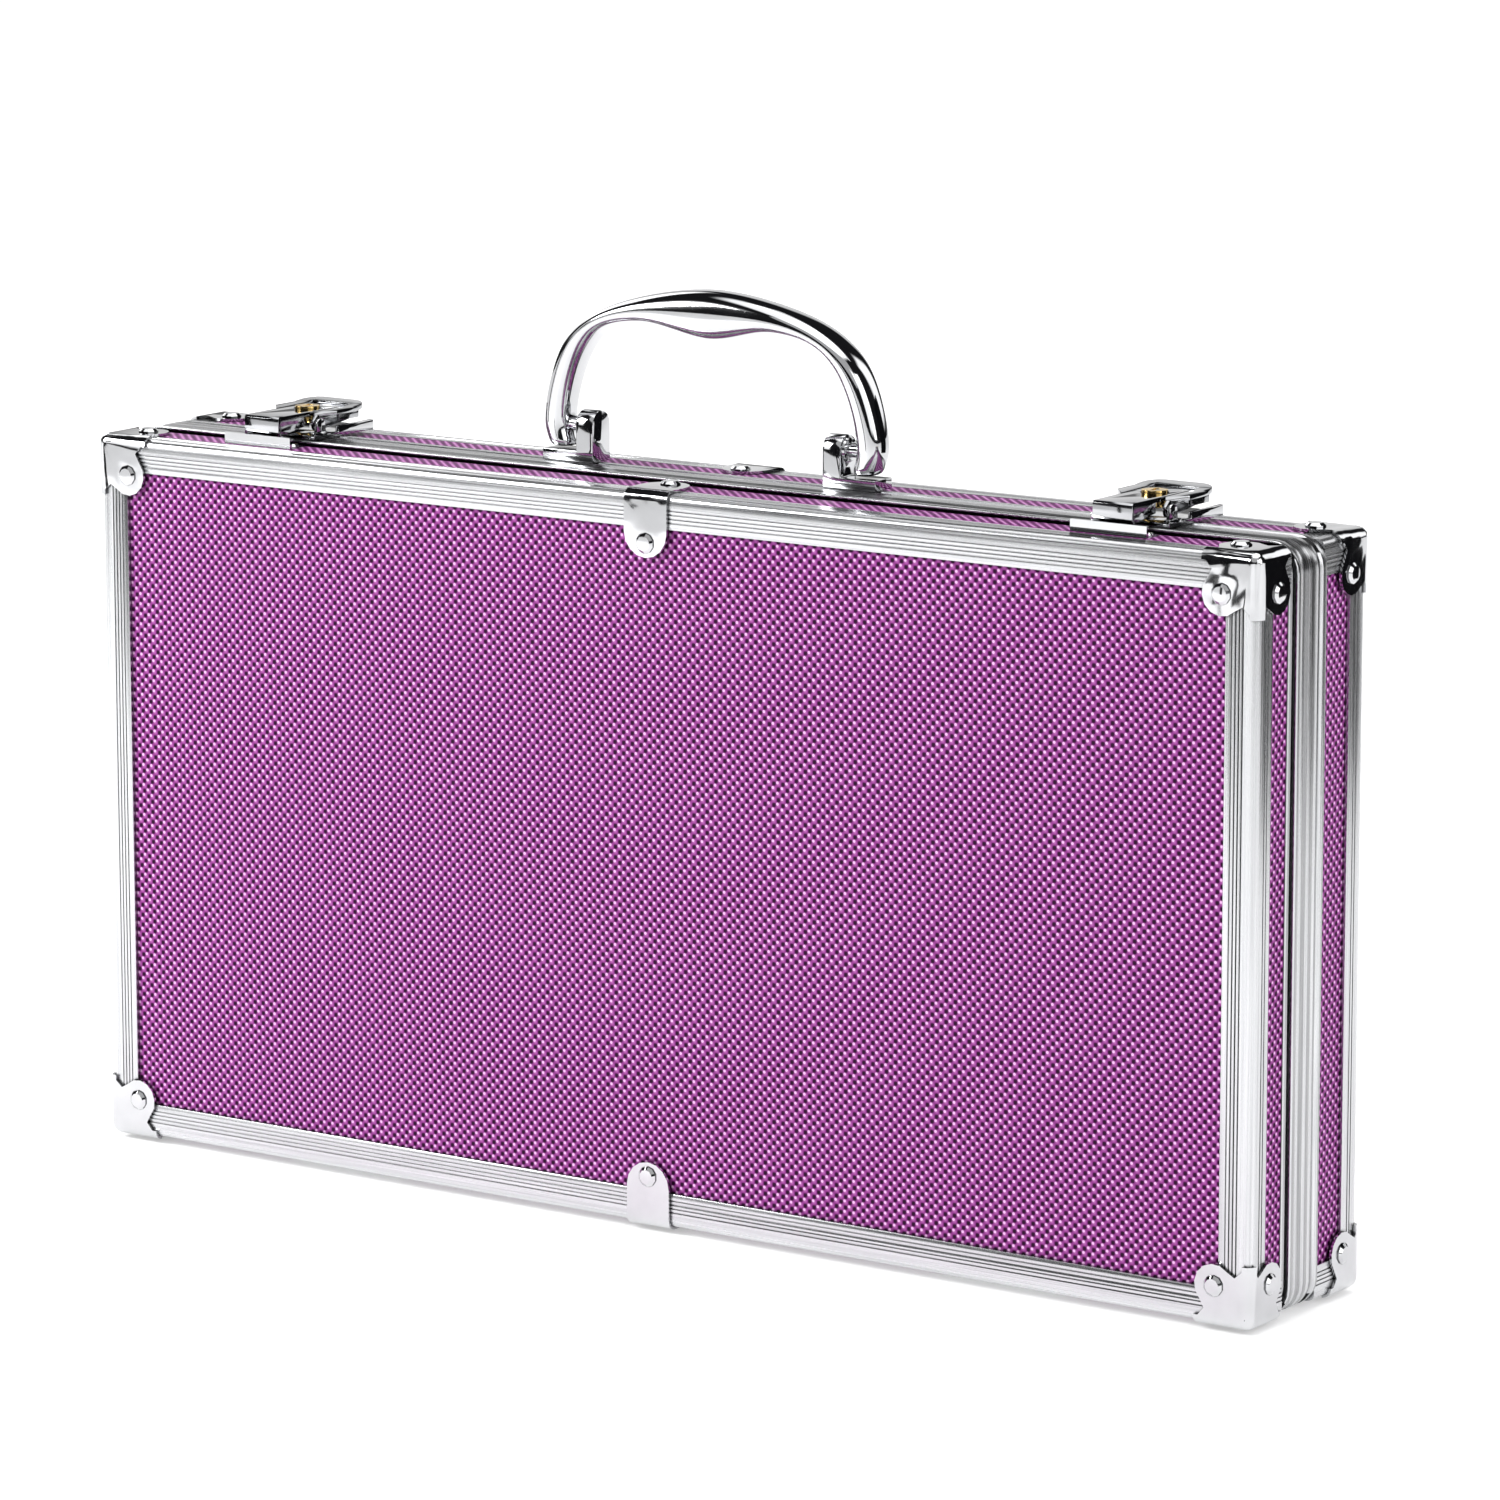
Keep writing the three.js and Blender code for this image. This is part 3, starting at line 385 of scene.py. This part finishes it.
def bow_curves():
    """Outer and inner outline of the handle bow, in millimetres."""
    def rise(share):
        return TOP + HANDLE_RISE * share

    foot = PIVOT_Z - 6.2
    leg = HANDLE_HALF - 7
    outer = [(0.965, foot), (1, PIVOT_Z), (0.962, rise(0.46)), (0.87, rise(0.67)),
             (0.72, rise(0.81)), (0.48, rise(0.92)), (0, rise(1))]
    inner = [(leg - 2, foot), (leg - 0.6, PIVOT_Z), (leg - 2.6, rise(0.45)), (leg - 7.6, rise(0.65)),
             (0.62 * HANDLE_HALF, rise(0.755)), (0.38 * HANDLE_HALF, rise(0.8)), (0, rise(0.735))]
    outer = [(x * HANDLE_HALF, z) for x, z in outer]

    def both(line):
        right = [Vector((x, 0, z)) for x, z in line]
        return right + [Vector((-p.x, 0, p.z)) for p in reversed(right[:-1])]

    return both(outer), both(inner)


def add_handle():
    """A plated bow with oval legs that swell into the grip."""
    outer, inner = bow_curves()
    mesh = bpy.data.meshes.new("handle_bow")
    shape = bmesh.new()
    rings = []
    for i in range(HANDLE_STATIONS + 1):
        t = i / HANDLE_STATIONS
        a, b = spline(outer, t), spline(inner, t)
        swell = math.sin(math.pi * t) ** 2
        near = min(t, 1 - t)
        end = min(1.0, 0.88 + 6 * near)
        if near < 0.004:
            end *= 0.86 + 0.14 * near / 0.004
        half_y = (LEG_DEPTH + GRIP_SWELL * swell) / 2 * end
        centre = (a + b) / 2
        half = (a - b) / 2 * end
        ring = []
        for j in range(HANDLE_FACETS):
            angle = 2 * math.pi * j / HANDLE_FACETS
            c, s = (math.copysign(abs(v) ** 0.8, v) for v in (math.cos(angle), math.sin(angle)))
            point = Vector((centre.x + half.x * c, HANDLE_Y + half_y * s, centre.z + half.z * c))
            ring.append(shape.verts.new(point * MM))
        rings.append(ring)
    for low, high in zip(rings, rings[1:]):
        for j in range(HANDLE_FACETS):
            k = (j + 1) % HANDLE_FACETS
            shape.faces.new((low[j], low[k], high[k], high[j]))
    shape.faces.new(rings[0])
    shape.faces.new(rings[-1])
    bmesh.ops.recalc_face_normals(shape, faces=shape.faces)
    shape.to_mesh(mesh)
    shape.free()
    bow = bpy.data.objects.new("handle_bow", mesh)
    bpy.context.scene.collection.objects.link(bow)
    mesh.materials.append(CHROME)
    bow.modifiers.new("smoothing", "NODES").node_group = SMOOTH
    add_pins(bow)
    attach(bow, "handle")
    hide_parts("handle")


def add_pins(bow):
    """The pins on which the legs turn in their brackets."""
    shape = bmesh.new()
    shape.from_mesh(bow.data)
    low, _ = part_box("handle_bracket_right")
    reach = (low[0] + 1.5 * MM, (HANDLE_HALF - 3) * MM)
    radius = PIN_RADIUS * MM
    turn = Euler((0, math.pi / 2, 0)).to_matrix()
    for side in (-1, 1):
        made = bmesh.ops.create_cone(shape, cap_ends=True, segments=32, radius1=radius, radius2=radius,
                                     depth=reach[1] - reach[0])
        bmesh.ops.rotate(shape, verts=made["verts"], cent=(0, 0, 0), matrix=turn)
        shift = Vector((side * sum(reach) / 2, HANDLE_Y * MM, PIVOT_Z * MM))
        bmesh.ops.translate(shape, verts=made["verts"], vec=shift)
    shape.to_mesh(bow.data)
    shape.free()


def add_skin_strip(name, body, low_y, high_y):
    """The skin along the top wall, level with the edging beside it. Visual only: the CAD wall lies lower."""
    mesh = bpy.data.meshes.new(name)
    shape = bmesh.new()
    made = bmesh.ops.create_cube(shape, size=1.0)
    size = Vector((2 * STRIP_HALF, high_y - low_y, STRIP_RISE)) * MM
    bmesh.ops.scale(shape, vec=size, verts=made["verts"])
    centre = Vector((0, (low_y + high_y) / 2, TOP - STRIP_RISE / 2)) * MM
    bmesh.ops.translate(shape, vec=centre, verts=made["verts"])
    shape.to_mesh(mesh)
    shape.free()
    strip = bpy.data.objects.new(name, mesh)
    bpy.context.scene.collection.objects.link(strip)
    mesh.materials.append(SKIN_LEVEL)
    soften(strip, 0.35 * MM)
    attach(strip, body)


# ---- materials ----

def lattice(tree, split, u_axis, v_axis, shift=0.0):
    """1 on each dot of the emboss and 0 in each pit; shift moves it diagonally, in radians."""
    wave = 2 * math.pi / EMBOSS_PITCH
    waves = []
    for axis, sign in ((u_axis, 1), (v_axis, -1)):
        turned = math_node(tree, "MULTIPLY", split.outputs[axis], wave)
        if shift:
            turned = math_node(tree, "ADD", turned, shift * sign)
        waves.append(math_node(tree, "COSINE", turned))
    product = math_node(tree, "MULTIPLY", *waves)
    height = math_node(tree, "MULTIPLY_ADD", product, 0.5)
    height.node.inputs[2].default_value = 0.5
    return height


def skin_material(name, u_axis, v_axis, reach=2.0 * MM):
    """Purple plastic skin, embossed with small raised dots in staggered rows and pits between them, with
    painted shade in the pits and painted highlights on the dots.
    """
    material, shader, tree = new_material(name)
    coords, split = object_axes(tree)
    height = lattice(tree, split, u_axis, v_axis)
    worn = noise(tree, coords, 900.0, 3.0)
    uneven = math_node(tree, "MULTIPLY_ADD", worn, 0.16)
    tree.links.new(height, uneven.node.inputs[2])
    # The pits are painted near black and the dot tops lighter: painted shade in the pits and painted
    # highlights on the dots, over the skin's own purple.
    colour = ramp_of(tree, uneven, [
        (0.08, (0.012, 0.0002, 0.011)),
        (0.36, (0.042, 0.001, 0.038)),
        (0.54, (0.235, 0.034, 0.212)),
        (0.80, (0.31, 0.060, 0.285)),
        (1.00, (0.40, 0.11, 0.37)),
    ])
    # Painted highlights: pink-white spots set off-centre on each dot.
    lit = lattice(tree, split, u_axis, v_axis, 0.75)
    painted_highlight = tree.nodes.new("ShaderNodeMapRange")
    painted_highlight.interpolation_type = "SMOOTHSTEP"
    painted_highlight.inputs["From Min"].default_value = 0.70
    painted_highlight.inputs["From Max"].default_value = 0.97
    painted_highlight.inputs["To Max"].default_value = 0.85
    tree.links.new(lit, painted_highlight.inputs["Value"])
    colour = mix_to(tree, painted_highlight.outputs[0], colour, (0.95, 0.58, 0.91))
    # Painted shade darkens the skin in its seams and grooves.
    tree.links.new(painted_crevice_shade(tree, colour, reach, 0.12), shader.inputs["Base Color"])
    rough = ramp_of(tree, noise(tree, coords, 220.0), [(0.0, (0.38,) * 3), (1.0, (0.55,) * 3)])
    tree.links.new(rough, shader.inputs["Roughness"])
    shader.inputs["Specular IOR Level"].default_value = 0.10
    bump(tree, shader, height, 0.8, 0.30 * MM)
    return material


def painted_rim_shadow_mask(tree, coords, split):
    """1 where the painted shadow band lies under the rim's front edge, along the case's top and bottom."""
    facing = tree.nodes.new("ShaderNodeSeparateXYZ")
    tree.links.new(coords.outputs["Normal"], facing.inputs[0])
    level = math_node(tree, "ABSOLUTE", math_node(tree, "SUBTRACT", split.outputs["Z"], MIDDLE * MM))
    below = band(tree, level, RIM_SHADOW_FROM * MM, (TOP - MIDDLE + RIM_SHADOW_PAST) * MM, 0.08 * MM)
    forward = math_node(tree, "LESS_THAN", facing.outputs["Y"], -0.3)
    return math_node(tree, "MULTIPLY", below, forward)


def aluminium_material(name, stretch, ribs=None):
    """Satin extruded aluminium with die lines along the bar; where it has ribs across one axis, dark lines
    painted between them as painted shade in the grooves and a painted shadow under the rim's front edge,
    elsewhere painted shade in its crevices.
    """
    material, shader, tree = new_material(name)
    coords, split = object_axes(tree)
    lines = noise(tree, coords, 14.0, 4.0, stretch)
    colour = ramp_of(tree, lines, [(0.25, (0.47, 0.475, 0.49)), (0.75, (0.72, 0.725, 0.74))])
    if ribs:
        axis, pitch = ribs
        # Dark lines painted between the ribs: painted shade in the grooves.
        turned = math_node(tree, "MULTIPLY", split.outputs[axis], 2 * math.pi / pitch)
        crest = math_node(tree, "COSINE", turned)
        painted_groove_shade = ramp_of(tree, crest, [(0.0, (0.62,) * 3), (0.05, (1.0,) * 3)])
        colour = multiply(tree, colour, painted_groove_shade)
        # Painted shadow under the rim's front edge, along the top and bottom.
        shadow = ramp_of(tree, painted_rim_shadow_mask(tree, coords, split), [(0.0, (1.0,) * 3), (1.0, (0.03,) * 3)])
        colour = multiply(tree, colour, shadow)
        tree.links.new(colour, shader.inputs["Base Color"])
    else:
        # Painted shade darkens the aluminium in its seams and grooves.
        tree.links.new(painted_crevice_shade(tree, colour, 1.2 * MM, 0.06), shader.inputs["Base Color"])
    rough = ramp_of(tree, lines, [(0.2, (0.18,) * 3), (0.8, (0.34,) * 3)])
    tree.links.new(rough, shader.inputs["Roughness"])
    shader.inputs["Metallic"].default_value = 1.0
    bump(tree, shader, lines, 0.10, 0.06 * MM)
    return material


def bright_metal(name, colour, roughness, dents):
    """Plated metal, nearly a mirror, with the faint dents of pressing, handling smears and painted shade in
    its crevices.
    """
    material, shader, tree = new_material(name)
    coords, _ = object_axes(tree)
    smear = noise(tree, coords, 90.0, 5.0)
    tint = ramp_of(tree, smear, [(0.3, tuple(c * 0.88 for c in colour)), (0.7, colour)])
    # Painted shade darkens the plated metal round its rivets and in its seams.
    tree.links.new(painted_crevice_shade(tree, tint, 1.6 * MM, 0.05), shader.inputs["Base Color"])
    rough = ramp_of(tree, smear, [(0.3, (roughness,) * 3), (0.8, (roughness + 0.04,) * 3)])
    tree.links.new(rough, shader.inputs["Roughness"])
    shader.inputs["Metallic"].default_value = 1.0
    bump(tree, shader, noise(tree, coords, 75.0, 2.0), dents, 0.8 * MM)
    return material


def soft_material(name, colour, grain, roughness):
    material, shader, tree = new_material(name)
    coords, _ = object_axes(tree)
    speck = noise(tree, coords, grain, 6.0)
    dark, light = (tuple(c * share for c in colour) for share in (0.6, 1.7))
    tint = ramp_of(tree, speck, [(0.3, dark), (0.75, light)])
    tree.links.new(tint, shader.inputs["Base Color"])
    shader.inputs["Roughness"].default_value = roughness
    shader.inputs["Sheen Weight"].default_value = 0.35
    shader.inputs["Specular IOR Level"].default_value = 0.25
    bump(tree, shader, speck, 0.6, 0.25 * MM)
    return material


SKIN_FACE = skin_material("skin_face", "X", "Z")
SKIN_LEVEL = skin_material("skin_level", "X", "Y", 0.7 * MM)
SKIN_SIDE = skin_material("skin_side", "Y", "Z")
ALU_X = aluminium_material("aluminium_x", (1.2, 160.0, 160.0))
ALU_Y = aluminium_material("aluminium_y", (160.0, 1.2, 160.0))
ALU_Z = aluminium_material("aluminium_z", (160.0, 160.0, 1.2))
ALU_RIM = aluminium_material("aluminium_rim", (2.5, 160.0, 2.5), ("Y", RIM_PITCH * MM))
CHROME = bright_metal("chrome_plate", (0.60, 0.605, 0.62), 0.035, 0.02)
PRESSED = bright_metal("pressed_chrome", (0.62, 0.625, 0.64), 0.05, 0.55)
PLATE = bright_metal("latch_plate", (0.44, 0.445, 0.46), 0.06, 0.04)
BRASS = bright_metal("brass_lock", (0.86, 0.60, 0.22), 0.14, 0.05)
RUBBER = soft_material("seal_rubber", (0.008, 0.008, 0.009), 900.0, 0.65)
FOAM = soft_material("flocked_foam", (0.018, 0.018, 0.020), 1400.0, 0.95)


def material_for(name):
    if name.endswith("_panel"):
        return SKIN_FACE
    if "_wall_" in name:
        return SKIN_SIDE if name.endswith(("left", "right")) else SKIN_LEVEL
    if "_edge_" in name:
        return ALU_Z if name.endswith(("left", "right")) else ALU_X
    if "_post_" in name:
        return ALU_Y
    if name == "body_rim":
        return ALU_RIM
    if name.startswith("hinge"):
        return ALU_X
    if "lock" in name:
        return BRASS
    if name == "lid_seal":
        return RUBBER
    if name in ("lid_pad", "chip_insert", "accessory_tray"):
        return FOAM
    if name.startswith(("latch_lever", "latch_hook")):
        return PLATE
    if "_cap_" in name or "_clip_" in name:
        return PRESSED
    return CHROME


def edge_width(name):
    """How far a piece's hard edges are eased, in metres."""
    if "_cap_" in name or "_clip_" in name or "keeper" in name:
        return 0.0
    if "bracket" in name:
        return 0.5 * MM
    if name.startswith(("latch", "hinge")):
        return 0.18 * MM
    if "_edge_" in name or name == "body_rim":
        return 0.08 * MM
    return 0.0


def dress_nodes():
    for name, node in NODES.items():
        node.data.materials.clear()
        node.data.materials.append(material_for(name))
        soften(node, edge_width(name))


set_camera()
set_light()
set_floor()
dress_nodes()
add_handle()
add_skin_strip("lid_skin_strip", "lid", *LID_STRIP)
add_skin_strip("body_skin_strip", "body", *BODY_STRIP)
